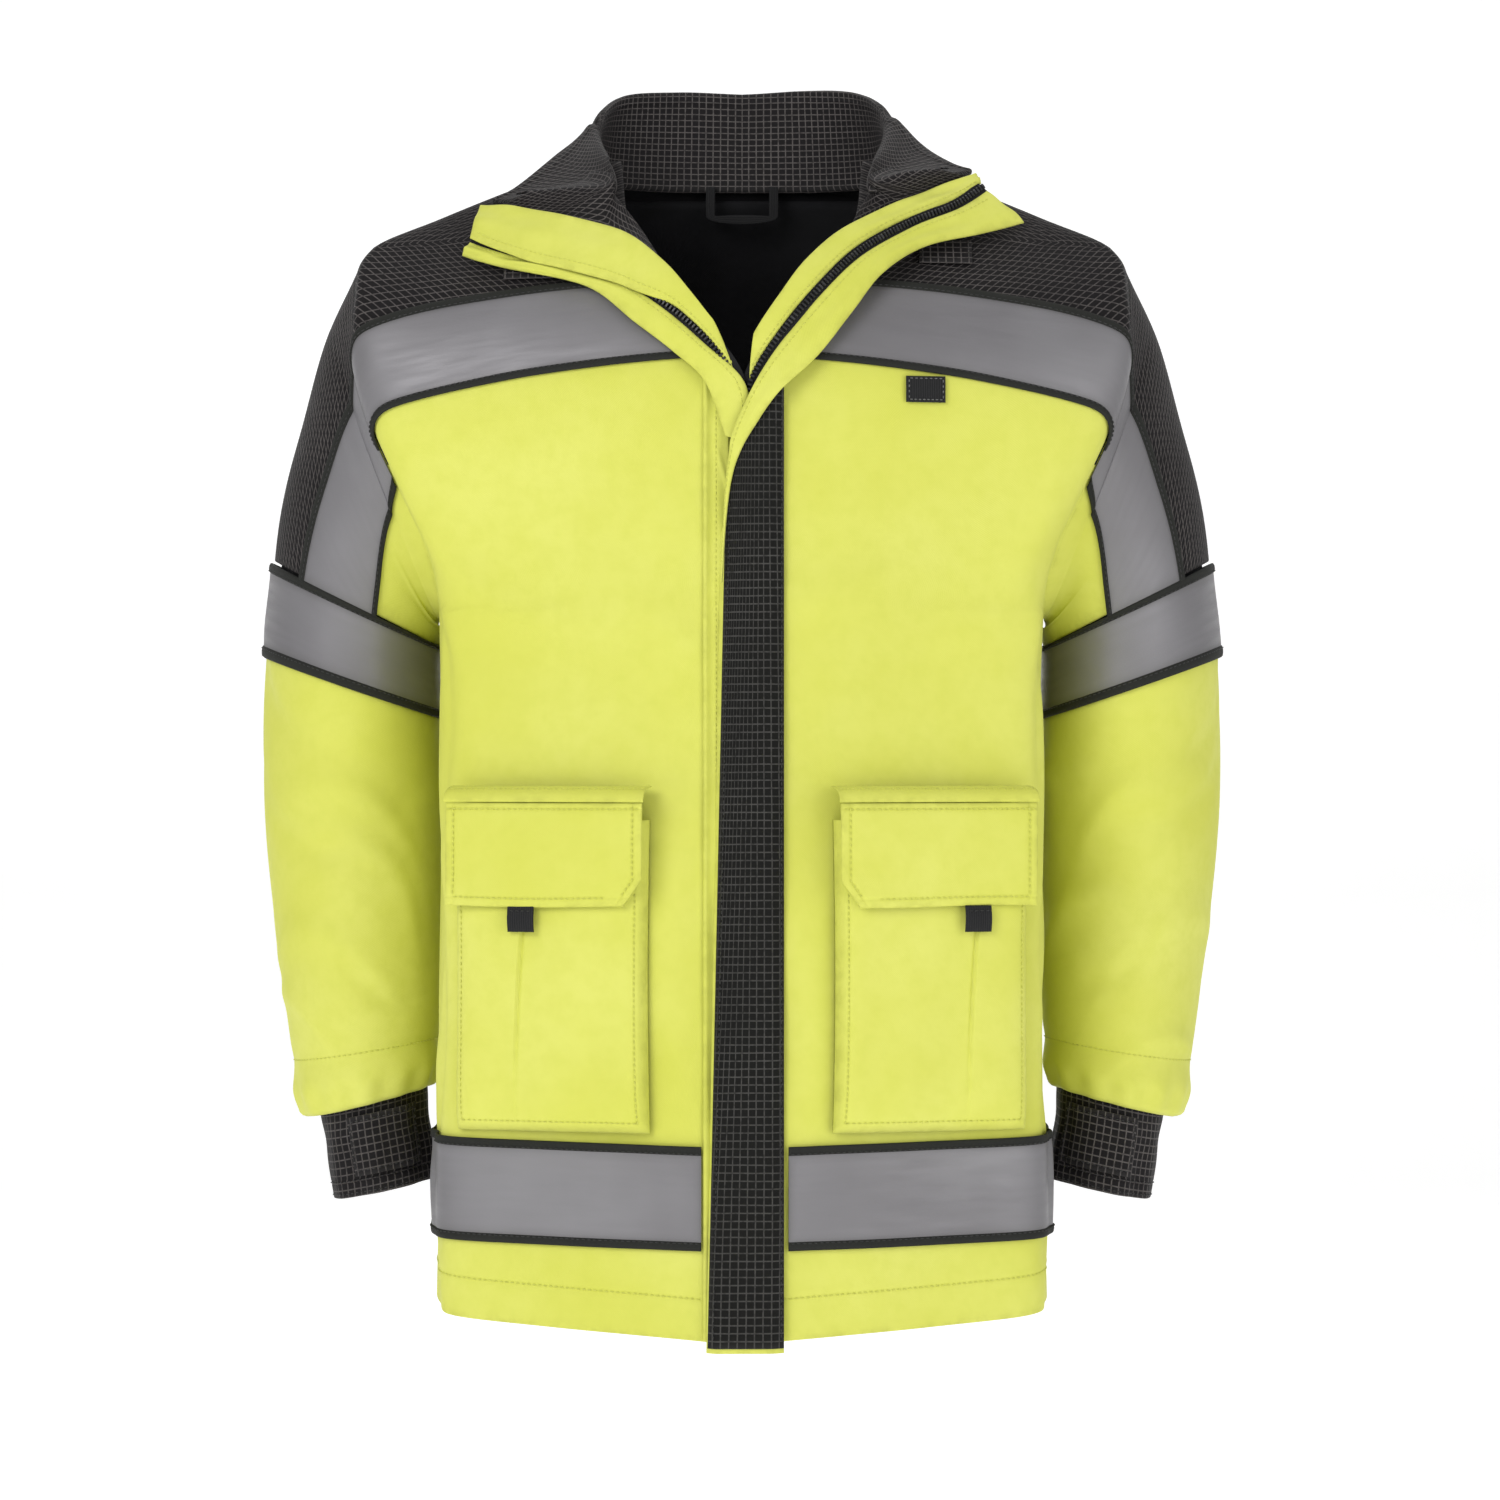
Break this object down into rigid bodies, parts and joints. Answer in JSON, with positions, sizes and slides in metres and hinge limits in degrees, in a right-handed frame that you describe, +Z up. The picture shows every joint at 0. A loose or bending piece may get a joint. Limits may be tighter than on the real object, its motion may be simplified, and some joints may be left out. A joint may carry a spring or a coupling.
{
  "type": "turnout coat",
  "caption": "High-visibility turnout coat with black yokes, reflective tape bands, storm-flap zip front, open collar, bellows pockets and strapped cuffs.",
  "frame": {"origin": "the base of the wearer's neck, on the coat's centre plane", "axes": "+Z up, -Y out of the chest, +X towards the wearer's left"},
  "size_m": [0.5972, 0.3034, 0.7772],
  "materials": {
    "hi_vis_yellow": "matt woven softshell",
    "black_ripstop": "matt grid ripstop",
    "reflective_tape": "satin retroreflective",
    "black_lining": "matt knit",
    "hook_and_loop": "matt woven",
    "moulded_resin": "satin moulded"
  },
  "bodies": {
    "coat_body": {"front_panel_right": "hi_vis_yellow", "yoke_right": "black_ripstop", "chest_tape_right": "reflective_tape", "hem_tape_right": "reflective_tape", "armhole_gusset_right": "hi_vis_yellow", "lapel_flap_right": "hi_vis_yellow", "lapel_facing_right": "hi_vis_yellow", "zip_teeth_right": "moulded_resin", "zip_tape_right": "black_lining", "pocket_right": "hi_vis_yellow", "mic_tab_right": "black_ripstop", "front_panel_left": "hi_vis_yellow", "yoke_left": "black_ripstop", "chest_tape_left": "reflective_tape", "hem_tape_left": "reflective_tape", "armhole_gusset_left": "hi_vis_yellow", "lapel_flap_left": "hi_vis_yellow", "lapel_facing_left": "hi_vis_yellow", "zip_teeth_left": "moulded_resin", "zip_tape_left": "black_lining", "pocket_left": "hi_vis_yellow", "mic_tab_left": "black_ripstop", "back_panel": "hi_vis_yellow", "yoke_back": "black_ripstop", "back_tape": "reflective_tape", "hem_tape_back": "reflective_tape", "collar_facing": "black_ripstop", "collar_outer": "black_ripstop", "placket_loop_strip": "hook_and_loop", "placket_right": "hi_vis_yellow", "zip_box": "moulded_resin", "label_tab": "hook_and_loop", "body_lining": "black_lining"},
    "sleeve_right": {"upper_sleeve_outer_right": "black_ripstop", "upper_sleeve_under_right": "hi_vis_yellow", "sleeve_tape_front_right": "reflective_tape", "sleeve_tape_back_right": "reflective_tape", "sleeve_band_right": "reflective_tape", "lower_sleeve_right": "hi_vis_yellow", "sleeve_lining_right": "black_lining", "cuff_right": "black_ripstop"},
    "cuff_strap_right": {"cuff_strap_right": "black_ripstop"},
    "pocket_flap_right": {"pocket_flap_right": "hi_vis_yellow", "pocket_pull_tab_right": "hook_and_loop"},
    "sleeve_left": {"upper_sleeve_outer_left": "black_ripstop", "upper_sleeve_under_left": "hi_vis_yellow", "sleeve_tape_front_left": "reflective_tape", "sleeve_tape_back_left": "reflective_tape", "sleeve_band_left": "reflective_tape", "lower_sleeve_left": "hi_vis_yellow", "sleeve_lining_left": "black_lining", "cuff_left": "black_ripstop"},
    "cuff_strap_left": {"cuff_strap_left": "black_ripstop"},
    "pocket_flap_left": {"pocket_flap_left": "hi_vis_yellow", "pocket_pull_tab_left": "hook_and_loop"},
    "storm_flap": {"storm_flap": "black_ripstop", "storm_flap_facing": "hi_vis_yellow"},
    "zip_slider": {"zip_slider": "moulded_resin"},
    "zip_pull": {"zip_pull": "moulded_resin"},
    "hanger_loop": {"hanger_loop": "hook_and_loop"}
  },
  "joints": [
    {"name": "storm_flap_hinge", "type": "hinge", "parent": "coat_body", "child": "storm_flap", "pos_m": [0.025, -0.1535, -0.42], "axis": [0, 0, 1], "range_deg": [0, 110]},
    {"name": "pocket_flap_right_hinge", "type": "hinge", "parent": "coat_body", "child": "pocket_flap_right", "pos_m": [-0.11656, -0.15277, -0.359], "axis": [-0.9588, 0.284, 0], "range_deg": [0, 150]},
    {"name": "sleeve_right_swing", "type": "hinge", "parent": "coat_body", "child": "sleeve_right", "pos_m": [-0.22644, -0.0144, -0.024], "axis": [0, 1, 0], "range_deg": [0, 50]},
    {"name": "cuff_strap_right_hinge", "type": "hinge", "parent": "sleeve_right", "child": "cuff_strap_right", "pos_m": [-0.19907, -0.03028, -0.56331], "axis": [0, 0, 1], "range_deg": [0, 80]},
    {"name": "pocket_flap_left_hinge", "type": "hinge", "parent": "coat_body", "child": "pocket_flap_left", "pos_m": [0.11656, -0.15277, -0.359], "axis": [-0.9588, -0.284, 0], "range_deg": [0, 150]},
    {"name": "sleeve_left_swing", "type": "hinge", "parent": "coat_body", "child": "sleeve_left", "pos_m": [0.22644, -0.0144, -0.024], "axis": [0, -1, 0], "range_deg": [0, 50]},
    {"name": "cuff_strap_left_hinge", "type": "hinge", "parent": "sleeve_left", "child": "cuff_strap_left", "pos_m": [0.19907, -0.03028, -0.56331], "axis": [0, 0, -1], "range_deg": [0, 80]},
    {"name": "zip_slide", "type": "slide", "parent": "coat_body", "child": "zip_slider", "axis": [0, 0, 1], "range_m": [-0.505, 0]},
    {"name": "zip_pull_hinge", "type": "hinge", "parent": "zip_slider", "child": "zip_pull", "pos_m": [0, -0.1513, -0.139], "axis": [-1, 0, 0], "range_deg": [0, 8]},
    {"name": "hanger_loop_hinge", "type": "hinge", "parent": "coat_body", "child": "hanger_loop", "pos_m": [0, 0.056, 0.028], "axis": [-1, 0, 0], "range_deg": [0, 90]}
  ]
}
